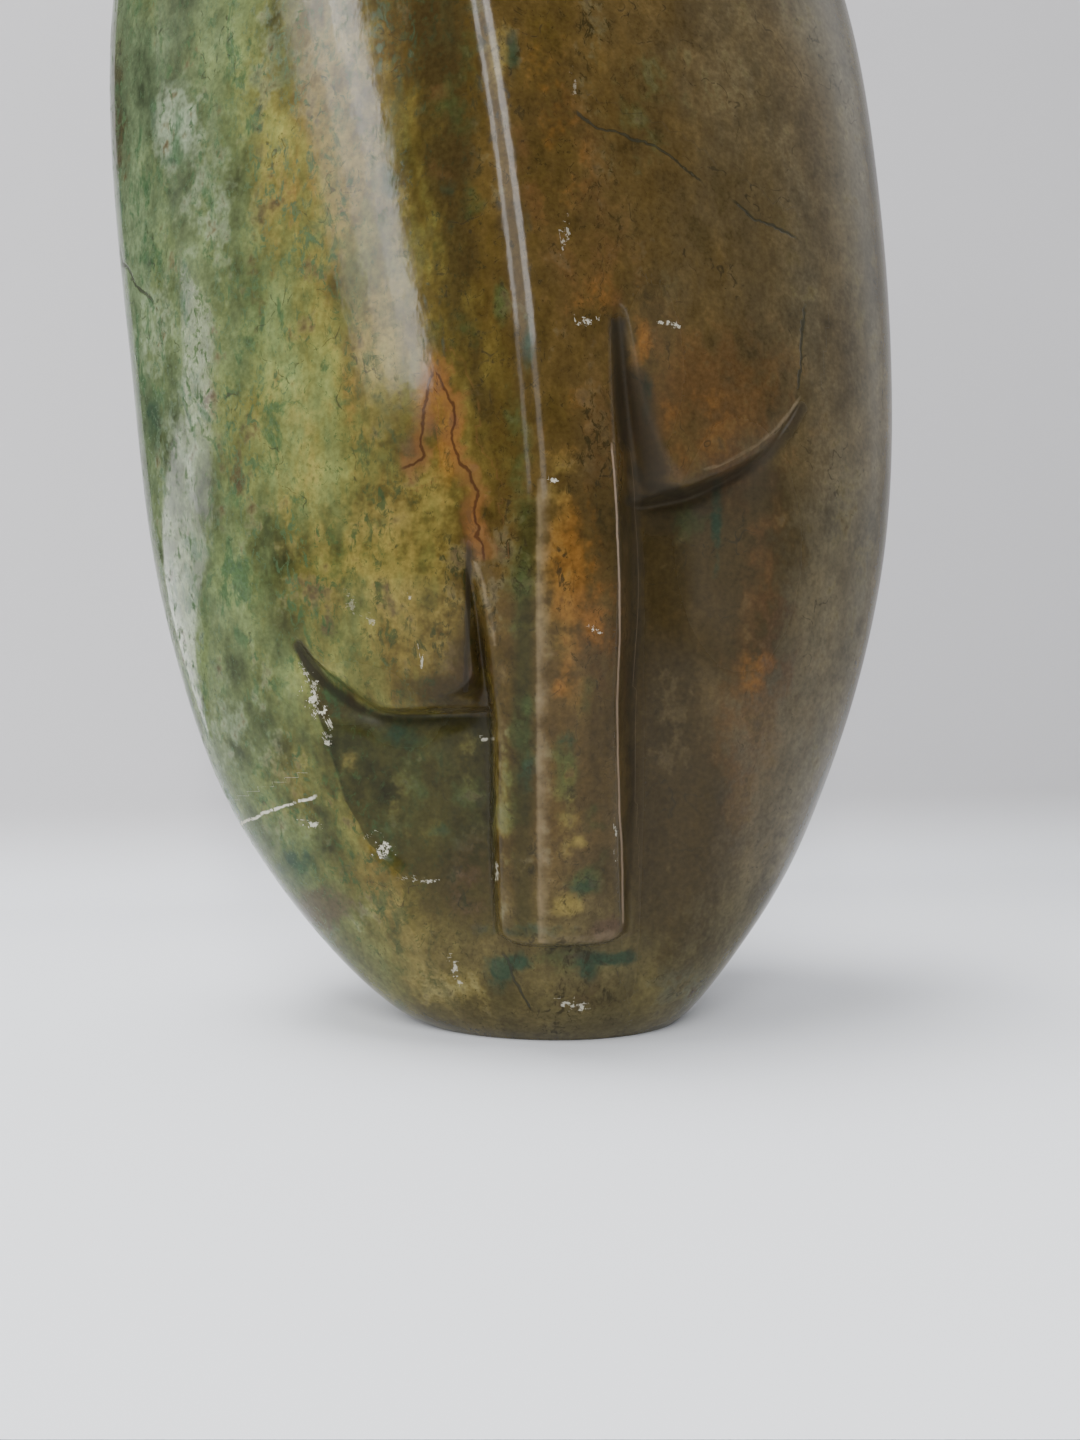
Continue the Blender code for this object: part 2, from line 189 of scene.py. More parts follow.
def up_the_form(stations, height, column=1):
    """One column of a table of stations, read at any height on a smooth curve."""
    knots = [from_top(row[0]) for row in reversed(stations)]
    values = [row[column] for row in reversed(stations)]
    return natural_curve(knots, values, from_top(height))


def along(stations, at):
    """A line through the stations, eased so that it turns back only where they do."""
    xs, ys = (np.array(values, float) for values in zip(*stations))
    gaps = np.diff(xs)
    rises = np.diff(ys) / gaps
    slopes = np.concatenate([rises[:1], np.zeros(len(xs) - 2), rises[-1:]])
    for i in range(1, len(xs) - 1):
        if rises[i - 1] * rises[i] > 0:
            slopes[i] = 2 / (1 / rises[i - 1] + 1 / rises[i])
    at = np.clip(at, xs[0], xs[-1])
    i = np.clip(np.searchsorted(xs, at) - 1, 0, len(xs) - 2)
    t = (at - xs[i]) / gaps[i]
    eased = t * t * (3 - 2 * t)
    bend = gaps[i] * t * (1 - t) * (slopes[i] * (1 - t) - slopes[i + 1] * t)
    return ys[i] + (ys[i + 1] - ys[i]) * eased + bend


def guides(height):
    """Where the eleven lines are, from the left side to the right, at each height."""
    ridge = up_the_form(RIDGE, height)
    nose_left = up_the_form(NOSE_LEFT, height)
    nose_right = up_the_form(NOSE_RIGHT, height)
    foot_left = nose_left - up_the_form(LEAN_LEFT, height)
    foot_right = nose_right + up_the_form(LEAN_RIGHT, height)
    return (
        -up_the_form(EGG, height, 1),
        up_the_form(CHEEK_LEFT, height),
        foot_left - along(TURN_LEFT, height),
        foot_left,
        nose_left,
        ridge,
        nose_right,
        foot_right,
        foot_right + along(TURN_RIGHT, height),
        up_the_form(CHEEK_RIGHT, height),
        up_the_form(EGG, height, 2),
    )


def ramp(value, low, high):
    """0 up to low, 1 from high, and smooth between."""
    share = np.clip((value - low) / (high - low), 0, 1)
    return share * share * (3 - 2 * share)


def egg_front(across, height, lines):
    """The front of the bare egg with its ridge."""
    ridge = lines[CREST]
    side = np.where(across < ridge, lines[SIDE_L], lines[SIDE_R])
    share = (across - ridge) / (side - ridge)
    share = (np.sqrt(share**2 + RIDGE_ROUND**2) - RIDGE_ROUND) / (np.sqrt(1 + RIDGE_ROUND**2) - RIDGE_ROUND)
    full = np.clip(1 - share ** up_the_form(FRONT_FULLNESS, height), 0, 1)
    return -up_the_form(EGG, height, 3) * np.sqrt(full)


def cheek(across, height, lines, side, lid):
    """A cheek: straight from its outer edge to the foot of the nose, gouged in under the eyelid."""
    if side == "left":
        edge, foot, cut, (start, end, soft) = lines[CHEEK_L], lines[FOOT_L], CUT_LEFT, EDGE_LEFT
    else:
        edge, foot, cut, (start, end, soft) = lines[CHEEK_R], lines[FOOT_R], CUT_RIGHT, EDGE_RIGHT
    share = (across - edge) / (foot - edge)
    inside = np.clip(share, 0, 1)
    egg = egg_front(across, height, lines)
    at_edge = egg_front(edge, height, lines)
    at_foot = egg_front(foot, height, lines) + along(cut, height)
    flat = at_edge + (at_foot - at_edge) * inside + CHEEK_HOLLOW * 4 * inside * (1 - inside)
    under_lid = np.exp(-np.clip(lid - height, 0, None) / GOUGE_REACH)
    gouge = GOUGE_DEPTH * under_lid * np.sin(np.pi * np.clip(inside, 0, 1 - 1e-9)) ** GOUGE_ENDS
    cut_back = soft * np.logaddexp(0, (flat - egg) / soft) + gouge
    return egg + cut_back * ramp(share, start, end) * ramp(height, *CHEEK_START)


def eyelid(across, height, lines, side, lid):
    """An eyelid: the egg itself, rolled under at its edge and falling away beside the nose."""
    if side == "left":
        edge, turn, foot, hollow = lines[CHEEK_L], lines[TURN_L], lines[FOOT_L], HOLLOW_LEFT
    else:
        edge, turn, foot, hollow = lines[CHEEK_R], lines[TURN_R], lines[FOOT_R], HOLLOW_RIGHT
    fall = np.clip((across - turn) / (foot - turn), 0, 1)
    inside = np.clip((across - edge) / (foot - edge), 0, 1)
    roll = LIP_ROLL * np.exp(-np.clip(height - lid, 0, None) / LIP_REACH) * np.minimum(1, inside / LIP_START)
    return egg_front(across, height, lines) + roll + along(hollow, height) * fall**HOLLOW_POWER


def beside_the_nose(across, height, lines, side, lid, above_lid):
    """A cheek up to its eyelid's edge and the eyelid above it, with the step between them."""
    low = cheek(across, height, lines, side, lid)
    high = eyelid(across, height, lines, side, lid)
    return low + (high - low) * above_lid


def nose(across, height, lines, feet, place, above_end):
    """The nose's top with its rounded edges, its leaning side walls and the chin under its end."""
    egg = egg_front(across, height, lines)
    cuts = [foot - egg_front(lines[line], height, lines) for foot, line in zip(feet, (FOOT_L, FOOT_R))]
    wall = np.clip(np.where(place < CREST, place - FOOT_L, FOOT_R - place), 0, 1)
    top = egg + np.where(place < CREST, *cuts) * (1 - wall**HOLLOW_POWER)
    for edge, (width, depth) in ((lines[NOSE_L], SHOULDER_LEFT), (lines[NOSE_R], SHOULDER_RIGHT)):
        worn = depth * np.clip(1 - np.abs(across - edge) / width, 0, 1) ** 2
        top = top + worn * wall * (1 - ramp(height, *SHOULDER_TOP))
    share = np.clip((across - lines[FOOT_L]) / (lines[FOOT_R] - lines[FOOT_L]), 0, 1)
    chin = egg + cuts[0] * (1 - share) + cuts[1] * share
    return chin + (top - chin) * above_end


def front_surface(place, height, ring, lids, lips):
    """Where each point of the carved front is, across and forward."""
    lines = guides(height)
    low = np.clip(np.floor(place).astype(int), SIDE_L, CHEEK_R)
    across = np.choose(low, lines[:-1]) * (low + 1 - place) + np.choose(low, lines[1:]) * (place - low)
    above = [np.clip(ring - (lip - 1), 0, 1) for lip in lips]
    left = beside_the_nose(across, height, lines, "left", lids[0], above[0])
    right = beside_the_nose(across, height, lines, "right", lids[1], above[1])
    feet = (beside_the_nose(lines[FOOT_L], height, lines, "left", lids[0], above[0]),
            beside_the_nose(lines[FOOT_R], height, lines, "right", lids[1], above[1]))
    above_end = np.clip(ring - len(BASE_RINGS), 0, 1)
    middle = nose(across, height, lines, feet, place, above_end)
    return across, np.where(place <= FOOT_L, left, np.where(place >= FOOT_R, right, middle))


def ring_heights(places):
    """The height of every ring at the places across, and of both eyelids' edges, which two rings follow."""
    sharp, faded = np.array(SHARP_RINGS)[:, None], np.array(FADED_RINGS)[:, None]
    lids = [along(line, places) for line in (LID_LEFT, LID_RIGHT)]
    left, right = (
        lid + faded + (sharp - faded) * along(weight, places)
        for lid, weight in zip(lids, (SHARP_LEFT, SHARP_RIGHT)))
    away, on_nose = np.array(END_RINGS_AWAY)[:, None], np.array(END_RINGS_ON_NOSE)[:, None]
    end = NOSE_END + along(END_CORNERS, places) + away + (on_nose - away) * along(END_NEAR, places)
    climb = np.linspace(from_top(right[-1]), 0, RINGS_TO_THE_TOP + 2)[1:-1]
    heights = np.vstack([
        np.array(BASE_RINGS)[:, None] + 0 * places,
        end,
        np.linspace(end[-1], left[0], RINGS_UP_THE_NOSE + 2)[1:-1],
        left,
        np.linspace(left[-1], right[0], RINGS_BETWEEN_LIDS + 2)[1:-1],
        right,
        TOP * (1 - climb**2),
    ])
    return heights, lids


# The fine surface's widest step: on the carved face, within a reach of the crest that is counted in lines,
# and on the plain parts above the face. Then the number of its columns round the back.
FACE_STEP = 3.4
CREST_STEP = 1.8
CREST_REACH = 0.5
PLAIN_STEP = 6.5
FACE_TOP = 470
BACK_COLUMNS = 60


def split(values, steps):
    """The same run of values, with each gap cut into its number of steps."""
    cuts = [np.linspace(a, b, n, endpoint=False) for a, b, n in zip(values, values[1:], steps)]
    return np.concatenate(cuts + [values[-1:]])


def carved_front(places, rings):
    """The front of the surface at any places across and any rings, whole or between two rings."""
    heights, lids = ring_heights(places)
    under = np.clip(rings.astype(int), 0, len(heights) - 2)
    share = (rings - under)[:, None]
    heights = heights[under] * (1 - share) + heights[under + 1] * share
    lip_left = len(BASE_RINGS) + len(END_RINGS_AWAY) + RINGS_UP_THE_NOSE + LIP_RING
    lip_right = lip_left + len(SHARP_RINGS) + RINGS_BETWEEN_LIDS
    across, depth = front_surface(places, heights, rings[:, None], lids, (lip_left, lip_right))
    return np.stack([across, depth, heights], axis=-1)


def carved_back(front):
    """The plain back, from the right side round to the left side."""
    turn = np.pi * np.arange(1, BACK_COLUMNS) / BACK_COLUMNS
    behind = front[:, [-1], 2] + (front[:, [0], 2] - front[:, [-1], 2]) * turn / np.pi
    left, right, reach = (up_the_form(EGG, behind, column) for column in (1, 2, 4))
    across = (right - left) / 2 + (right + left) / 2 * np.cos(turn)
    depth = reach * (1 - np.abs(np.cos(turn)) ** BACK_FULLNESS) ** 0.5
    return np.stack([across, depth, behind], axis=-1)


def fine_steps():
    """The fine surface's places across and rings, close together on the face and wider above it."""
    places = np.array(COLUMNS)
    rings = np.arange(float(len(ring_heights(places)[0])))
    coarse = carved_front(places, rings)
    across = np.abs(np.diff(coarse[:, :, 0], axis=1)).max(axis=0)
    up = np.linalg.norm(np.diff(coarse, axis=0), axis=2).max(axis=1)
    widest = np.where(coarse[1:, 0, 2] < FACE_TOP, FACE_STEP, PLAIN_STEP)
    beside_crest = (places[1:] > CREST - CREST_REACH) & (places[:-1] < CREST + CREST_REACH)
    columns = split(places, np.ceil(across / np.where(beside_crest, CREST_STEP, FACE_STEP)).astype(int))
    return columns, split(rings, np.ceil(up / widest).astype(int))


places, rings = fine_steps()
front = carved_front(places, rings)
surface = np.hstack([front, carved_back(front)])

# The hand and the polish have worn every edge a little.
EDGE_PASSES = 3


def relaxed(points, passes, share=1.0):
    """The surface with each point drawn towards its neighbours, except along the base."""
    points = points.copy()
    for _ in range(passes):
        around = (np.roll(points, 1, axis=1) + np.roll(points, -1, axis=1)) / 4
        around[1:-1] += (points[2:] + points[:-2]) / 4
        points[1:-1] += ((around - points) / 2 * share)[1:-1]
    return points


def drawn_out(points, weight):
    """The surface with its lines up the form drawn out into even curves, by a weight for each point."""
    even = points.copy()
    for line in np.flatnonzero(weight.max(axis=0)):
        rows = np.flatnonzero(weight[:, line])
        heights = points[rows, line, 2]
        for side in (0, 1):
            curve = np.polynomial.Polynomial.fit(heights, points[rows, line, side], RIDGE_DEGREE)
            even[rows, line, side] = curve(heights)
    return points + (even - points) * weight[:, :, None]


def smoothed_up(points, passes, weight):
    """The surface made smoother up and down the form, by a weight for each point."""
    points = points.copy()
    for _ in range(passes):
        points[1:-1] += ((points[2:] + points[:-2]) / 2 - points[1:-1]) / 2 * weight[1:-1, :, None]
    return points


def on_the_way(value, start, end):
    """How far a value is on its way from start to end: 0 before the start, and 1 past the end."""
    return np.clip((value - start) / (end - start), 0, 1)


# The long ridge and the plain forehead run smoothly, with no step from one ring to the next. Where each
# kind of smoothing begins and where it is full: heights, or distances from the crest counted in lines.
FOREHEAD_SMOOTH = (740, 800)
CREST_SMOOTH = (200, 240)
CREST_SMOOTH_NEAR = (0.75, 0.25)
SMOOTH_PASSES = 60
RIDGE_DRAWN = (300, 360)
RIDGE_DRAWN_TOP = (900, 820)
RIDGE_DRAWN_NEAR = (1, 1 / 3)
# The degree of the curves that the ridge's lines are drawn out into.
RIDGE_DEGREE = 8
height = surface[:, :, 2]
from_crest = np.abs(np.pad(places, (0, surface.shape[1] - len(places)), constant_values=SIDE_R) - CREST)
crest_smooth = on_the_way(from_crest, *CREST_SMOOTH_NEAR) * on_the_way(height, *CREST_SMOOTH)
plain = np.maximum(on_the_way(height, *FOREHEAD_SMOOTH), crest_smooth)
ridge = on_the_way(from_crest, *RIDGE_DRAWN_NEAR) * on_the_way(height, *RIDGE_DRAWN)
ridge = ridge * on_the_way(height, *RIDGE_DRAWN_TOP)
surface = smoothed_up(drawn_out(surface, ridge), SMOOTH_PASSES, plain)

# The sides are round, where the carved front meets the plain back: how many columns from a side its
# rounding begins, and where it is full.
SIDE_PASSES = 14
SIDE_COLUMNS = (9.6, 3.6)
number = np.arange(surface.shape[1])
from_side = np.minimum.reduce([number, np.abs(number - len(places) + 1), surface.shape[1] - number])
surface = relaxed(surface, SIDE_PASSES, on_the_way(from_side, *SIDE_COLUMNS)[None, :, None])
bare = surface * UNIT
surface = relaxed(surface, EDGE_PASSES) * UNIT

# The block starts as a ball with one point for each point of the carved surface.
bpy.ops.object.select_all(action="DESELECT")
ring_count, segments = surface.shape[:2]
bpy.ops.mesh.primitive_uv_sphere_add(segments=segments, ring_count=ring_count + 1, radius=1)
stone = bpy.context.object
stone.name = stone.data.name = "carved_stone"
ball = np.empty(len(stone.data.vertices) * 3)
stone.data.vertices.foreach_get("co", ball)
ball = ball.reshape(-1, 3)
column = np.round((np.arctan2(ball[:, 1], ball[:, 0]) / (2 * np.pi) + 0.5) * segments).astype(int) % segments
ring = ring_count - np.round(np.arccos(np.clip(ball[:, 2], -1, 1)) * (ring_count + 1) / np.pi).astype(int)
on_skin = (ring >= 0) & (ring < ring_count)
carved = surface[np.clip(ring, 0, ring_count - 1), column]
carved[ring < 0] = 0, 0, low.z
carved[ring >= ring_count] = UNIT * EGG[-1][2], 0, high.z

# Hand polishing leaves the faces slightly uneven, so that the light wavers on them. The waves come in over
# the first height above the base.
WAVE_LENGTH = 0.042
WAVE_DEPTH = 0.00014
WAVE_START = 0.01

stone.data.vertices.foreach_set("co", carved.ravel())
stone.data.update()
normals = np.array([vertex.normal for vertex in stone.data.vertices])
waves = np.array([noise.noise(Vector(point) / WAVE_LENGTH) - 1 for point in carved])
settled = np.clip(carved[:, 2] / WAVE_START, 0, 1)
carved += normals * (waves * WAVE_DEPTH * settled)[:, None]

# The marks that the years have left, and painted light and shade.
# Chips along the edges, patches of other stone, rusty veins, dark wax left in the hollows and edges worn
# pale, with painted shade in the hollows, under the eyelids and on the flat cut, and painted highlights along
# lit edges and the nose's crest. Each is placed by the pixel of the photograph where it shows, as the camera
# sees the stone.
EYE = np.array((-0.001, -0.245, 0.0665))
FOCAL_PIXELS = 1082
FRAME_WIDTH, FRAME_HEIGHT = 1080, 1440
# The stone is marked only where it turns no further to the back than this.
BACK_TURN = 0.1

reach = carved - EYE
seen = np.stack([
    FRAME_WIDTH / 2 + FOCAL_PIXELS * reach[:, 0] / reach[:, 1],
    FRAME_HEIGHT / 2 - FOCAL_PIXELS * reach[:, 2] / reach[:, 1],
], axis=-1)
facing = normals[:, 1] < BACK_TURN

# How pale a chip and how strong a patch is are in tenths, and a chip's depth in tenths of a millimetre.
TENTHS = 10
TENTHS_OF_MM = 10000
# Chips: pixel across and down, half width and half height in pixels, how pale, and how deep.
CHIPS = (
    (304, 671, 2, 5, 5, 1), (314, 684, 4, 7, 6, 2), (314, 702, 6, 9, 10, 6), (321, 713, 5, 7, 10, 5),
    (332, 728, 2, 5, 5, 1), (384, 850, 8, 7, 10, 6), (313, 825, 7, 3, 8, 2), (455, 968, 3, 6, 6, 3),
    (460, 983, 2, 4, 5, 2), (565, 1004, 5, 3, 7, 4), (582, 1006, 6, 4, 7, 4), (592, 629, 3, 2, 8, 2),
    (599, 633, 3, 2, 7, 1), (555, 481, 5, 2, 8, 1), (580, 323, 7, 3, 6, 1), (595, 319, 6, 3, 6, 1),
    (660, 320, 6, 2, 6, 1), (674, 325, 5, 3, 6, 1), (616, 832, 1.6, 5, 5, 1), (617, 858, 1.4, 4, 4, 1),
    (497, 872, 2, 9, 5, 1), (352, 604, 5, 7, 2, 1), (371, 621, 3, 4, 2.5, 1), (422, 661, 2, 7, 5, 1),
    (426, 881, 12, 2, 6, 1), (568, 232, 2, 8, 3.5, 1), (563, 246, 2, 7, 3.5, 1), (575, 84, 2, 8, 2, 1),
    (484, 739, 3, 2, 6, 2), (328, 744, 3, 3, 6, 1), (410, 598, 2, 3, 4, 1),
)
# How far a chip's place is told, in its own half sizes, and the value that stands for far from any mark.
CHIP_REACH = 3.0
FAR_OFF = 9.0
# How flat a chip's hollow is, as a power, and the size and share of its roughness.
CHIP_HOLLOW = 0.6
CHIP_GRAIN = 0.0016
CHIP_ROUGH = 0.6

# Patches: pixel across and down, half width and half height, and how strong. Most are of other stone. The
# umber kind is also painted shade on the right cheek and under the left eyelid, the pale kind is mostly
# painted sheen and reflection on the left side, on the nose's lit left strip and near the base, and the last
# kind is where the polish is duller.
PATCHES = {
    "orange": (
        (571, 570, 20, 56, 10), (590, 612, 18, 34, 7), (566, 684, 11, 20, 10), (753, 674, 9, 16, 6),
        (763, 662, 12, 8, 5), (434, 392, 16, 28, 10), (450, 436, 14, 44, 10), (474, 520, 8, 30, 6),
        (643, 350, 6, 22, 9), (300, 195, 10, 34, 4), (545, 60, 18, 50, 4), (560, 160, 22, 46, 5),
        (600, 300, 30, 20, 4), (690, 420, 36, 30, 4), (560, 420, 20, 36, 3.5), (345, 400, 16, 60, 3.5),
        (578, 790, 16, 30, 2.5),
    ),
    "ochre": (
        (385, 560, 48, 60, 8), (345, 110, 34, 100, 6), (380, 360, 26, 60, 8), (300, 470, 30, 90, 5),
        (450, 990, 50, 16, 6), (392, 900, 12, 40, 3), (430, 500, 22, 34, 7), (560, 500, 14, 50, 4),
        (420, 620, 40, 44, 5), (270, 190, 24, 70, 5), (566, 906, 14, 10, 10), (582, 842, 12, 6, 9),
        (400, 250, 14, 60, 5), (300, 780, 40, 50, 2.5), (500, 60, 10, 30, 5), (400, 800, 16, 24, 4),
        (420, 834, 22, 7, 5), (350, 760, 12, 20, 4), (465, 760, 10, 30, 4), (330, 520, 24, 50, 5),
        (560, 600, 20, 60, 5), (585, 700, 14, 40, 5), (503, 810, 7, 60, 7), (566, 800, 10, 50, 5),
    ),
    "teal": (
        (716, 530, 5, 34, 10), (647, 392, 5, 26, 9), (400, 735, 20, 12, 8), (500, 978, 12, 18, 10),
        (516, 962, 14, 8, 8), (612, 958, 22, 6, 10), (586, 968, 8, 10, 8), (529, 350, 5, 26, 8),
        (386, 400, 18, 26, 5), (298, 866, 18, 20, 8), (205, 680, 9, 26, 5), (528, 774, 9, 18, 5),
        (568, 740, 8, 9, 8), (582, 888, 10, 10, 4.5), (152, 110, 4, 26, 6), (176, 160, 18, 5, 5),
        (165, 80, 16, 4, 5), (152, 420, 8, 26, 7), (148, 250, 8, 40, 5), (240, 370, 8, 40, 5),
        (228, 560, 6, 30, 3), (236, 640, 6, 24, 2.5), (388, 180, 8, 14, 8), (513, 60, 5, 20, 7),
        (527, 220, 5, 14, 6), (430, 820, 30, 34, 3.5), (525, 930, 40, 6, 5), (345, 330, 10, 40, 4),
        (255, 130, 8, 60, 4), (450, 200, 18, 24, 4),
    ),
    "rust": (
        (700, 410, 80, 70, 9), (590, 260, 40, 60, 6), (760, 560, 20, 70, 6), (580, 170, 30, 60, 5),
        (521, 150, 9, 22, 9), (532, 205, 11, 26, 8), (438, 92, 10, 8, 9), (445, 170, 14, 10, 6),
        (618, 304, 7, 18, 10), (745, 720, 30, 90, 5), (600, 430, 14, 50, 5), (598, 640, 24, 80, 7),
        (470, 860, 20, 40, 4),
    ),
    "plum": (
        (322, 906, 24, 16, 13), (412, 452, 12, 20, 7), (432, 430, 8, 20, 6), (470, 870, 16, 40, 3),
        (454, 421, 4, 6, 16), (790, 640, 24, 60, 3), (475, 680, 16, 20, 5), (606, 928, 18, 10, 9),
    ),
    "umber_and_shade": (
        (438, 40, 22, 80, 13), (446, 150, 20, 80, 13), (458, 260, 18, 70, 12), (470, 350, 14, 50, 9),
        (662, 640, 40, 130, 12), (672, 820, 44, 110, 15), (600, 770, 18, 60, 9), (700, 700, 30, 90, 4),
        (600, 940, 60, 8, 4), (225, 450, 10, 50, 3.5), (600, 730, 18, 90, 10), (602, 850, 14, 50, 8),
        (600, 520, 16, 50, 8), (555, 640, 10, 60, 5), (450, 870, 40, 40, 7), (450, 700, 34, 14, 8),
        (690, 640, 60, 60, 6), (470, 660, 16, 30, 10), (440, 690, 40, 12, 10), (334, 702, 22, 16, 10),
        (455, 880, 40, 50, 5), (700, 550, 70, 50, 17), (735, 495, 40, 30, 17), (730, 620, 44, 60, 12),
        (720, 220, 60, 60, 6), (480, 400, 14, 40, 8), (560, 120, 14, 40, 7), (620, 318, 8, 22, 12),
        (445, 290, 16, 40, 7), (600, 992, 50, 18, 5), (116, 90, 9, 80, 10),
    ),
    "moss": (
        (520, 470, 14, 40, 6), (512, 420, 12, 30, 5), (520, 600, 12, 40, 6), (566, 765, 12, 40, 8),
        (522, 725, 12, 34, 8), (584, 880, 12, 14, 8), (590, 690, 12, 30, 4), (600, 820, 14, 30, 5),
        (506, 800, 10, 60, 6), (440, 800, 50, 60, 5), (300, 700, 10, 20, 3), (240, 480, 12, 50, 3),
        (255, 300, 14, 60, 5), (285, 60, 12, 40, 5), (330, 640, 24, 20, 6), (450, 330, 20, 40, 4),
        (470, 60, 10, 50, 4), (560, 960, 50, 10, 5), (215, 120, 10, 50, 4), (400, 960, 20, 14, 5),
        (690, 520, 20, 14, 6), (640, 100, 40, 60, 3), (305, 900, 30, 50, 5), (350, 860, 10, 20, 4),
        (450, 110, 18, 26, 6), (472, 205, 10, 18, 7), (500, 300, 6, 26, 7), (440, 250, 12, 14, 6),
        (470, 330, 14, 20, 5),
    ),
    "pale": (
        (178, 126, 24, 34, 8), (150, 330, 22, 50, 5), (185, 440, 26, 130, 4), (250, 600, 30, 90, 2),
        (262, 720, 30, 50, 3), (450, 990, 40, 12, 3), (350, 925, 20, 20, 3), (503, 830, 5, 90, 3),
        (680, 985, 30, 20, 3), (180, 600, 24, 60, 5), (210, 200, 30, 80, 4), (225, 740, 30, 50, 4),
        (270, 60, 30, 60, 3), (290, 840, 30, 20, 3),
    ),
    "dull": (
        (732, 545, 40, 84, 10), (345, 694, 44, 22, 10), (405, 728, 24, 14, 10), (690, 510, 60, 22, 6),
        (630, 720, 12, 230, 7), (652, 370, 26, 70, 7),
    ),
}
# How strong a patch is in its middle, before it is held to full, and what it loses over each half size.
PATCH_BODY = 1.35
PATCH_FADE = 0.7

# The painted shade on the flat cut of the left cheek: how dark, the pixels down between which it fades, and its
# corners.
FLAT_CUT_DARK = 0.84
FLAT_CUT_FADE = (970, 850)
FLAT_CUT_CORNERS = ((296, 645), (318, 672), (345, 700), (380, 714), (492, 716), (495, 820), (498, 934),
                    (440, 955), (403, 922), (403, 877), (370, 845), (345, 800), (325, 735), (310, 690))
# Bands of painted shade down the nose's own left face: half width in pixels, how dark, and their run.
NOSE_SHADE_BANDS = (
    (11, 0.85, ((528, 510), (525, 600), (523, 700), (523, 820))),
    (11, 0.60, ((523, 820), (524, 930))),
)
# Bands of dark wax and painted shade, in the same way: mostly painted shadow under the eyelids, in the
# hollows beside the nose and under the nose's end.
WAX_AND_SHADE_BANDS = (
    (9, 0.6, ((630, 501), (660, 499), (690, 493), (720, 483), (745, 471), (768, 454), (788, 431), (800, 408))),
    (30, 0.35, ((640, 522), (690, 518), (730, 504), (765, 480))),
    (18, 0.7, ((636, 380), (644, 430), (655, 470))),
    (10, 0.7, ((634, 470), (650, 486), (680, 494))),
    (10, 0.8, ((618, 325), (620, 360), (622, 400), (627, 440))),
    (14, 0.2, ((632, 440), (634, 480))),
    (7, 0.95, ((299, 646), (310, 664), (324, 682))),
    (6, 0.8, ((324, 682), (342, 697), (362, 709))),
    (9, 0.42, ((362, 710), (400, 720), (440, 722), (490, 722))),
    (3.5, 0.8, ((469, 540), (468, 600), (467, 640), (466, 690))),
    (16, 0.4, ((440, 690), (480, 690))),
    (9, 0.25, ((510, 952), (560, 954), (615, 948))),
)
# Bands of painted highlight along lit edges, lips and strips, in the same way.
HIGHLIGHT_BANDS = (
    (7, 0.22, ((501, 640), (501, 700), (503, 820), (505, 920))),
    (6, 0.35, ((540, 937), (560, 938), (590, 939), (612, 934))),
    (5, 0.22, ((630, 438), (631, 488))),
    (2.2, 0.5, ((801, 396), (790, 412), (775, 430), (757, 445), (738, 456), (720, 465), (704, 470))),
    (5, 0.28, ((440, 711), (462, 709), (488, 706))),
    (2.4, 0.55, ((476, 563), (480, 575), (484, 586), (488, 605), (491, 625), (494, 645))),
)
# How strong a band is in its middle, before it is held to full.
BAND_BODY = 1.4

# Thin lines: half width in pixels, and their runs. The last is a painted highlight along the nose's crisp right
# edge.
LINES = {
    "vein_at": (2.1, (
        ((435, 371), (442, 378), (444, 391), (452, 402), (455, 412), (454, 421), (451, 432), (454, 449),
         (459, 463), (468, 472), (473, 483), (478, 492), (475, 503), (474, 514), (478, 526), (476, 536),
         (482, 545), (483, 556)),
        ((435, 371), (428, 388), (423, 405), (422, 428), (421, 445), (425, 456), (416, 463), (406, 467)),
    )),
    "crack_at": (2.0, (
        ((578, 114), (600, 129), (622, 134), (642, 141), (668, 155), (700, 180)),
        ((736, 203), (760, 220), (792, 236)),
        ((805, 308), (801, 345), (798, 384)),
        ((505, 955), (512, 972), (522, 990), (531, 1006)),
        ((122, 256), (132, 280), (150, 300)),
    )),
    "scratch_at": (2.0, (
        ((243, 823), (254, 818), (262, 814), (274, 810), (286, 805), (298, 801), (311, 797)),
    )),
    "edge_highlight_at": (1.4, (
        ((612, 450), (616, 500), (619, 566), (620, 633), (617.5, 699), (617.5, 749), (620, 820), (622, 853),
         (623, 919)),
    )),
}
# How far out a line's place is told, in its half widths, and over how many pixels past its end it fades,
# from how strong.
LINE_REACH = 12.0
LINE_FADE = 4
LINE_END = 1.5

# The painted highlight along the nose's crest: its run, how pale, the pixels over which it rises and fades
# to its right, and how many it may run past its end.
NOSE_CREST = ((534, 480), (533, 600), (533, 760), (535, 940))
NOSE_CREST_PALE = 0.62
NOSE_CREST_RISE = 5
NOSE_CREST_FADE = 20
NOSE_CREST_BODY = 1.2
NOSE_CREST_PAST = 3

# Hollows and edges are told by how far they lie off the surface when it is smoothed, over these many
# passes. From that height on, in metres, they hold all their wax and painted shade, or all their wear and
# painted highlight, and this much of each.
SMOOTH_LEVELS = (3, 9, 24)
EDGE_HEIGHT = 0.0011
HOLLOW_WAX_AND_SHADE = 0.5
EDGE_WEAR_AND_HIGHLIGHT = 0.14


def patch_strength(patches):
    """How strongly a kind of patch shows at each point, fading from the middle of each patch."""
    strength = np.zeros(len(carved))
    for across, down, wide, tall, most in patches:
        far = np.hypot((seen[:, 0] - across) / wide, (seen[:, 1] - down) / tall)
        strength = np.maximum(strength, most / TENTHS * np.clip(PATCH_BODY - far * PATCH_FADE, 0, 1))
    return strength * facing


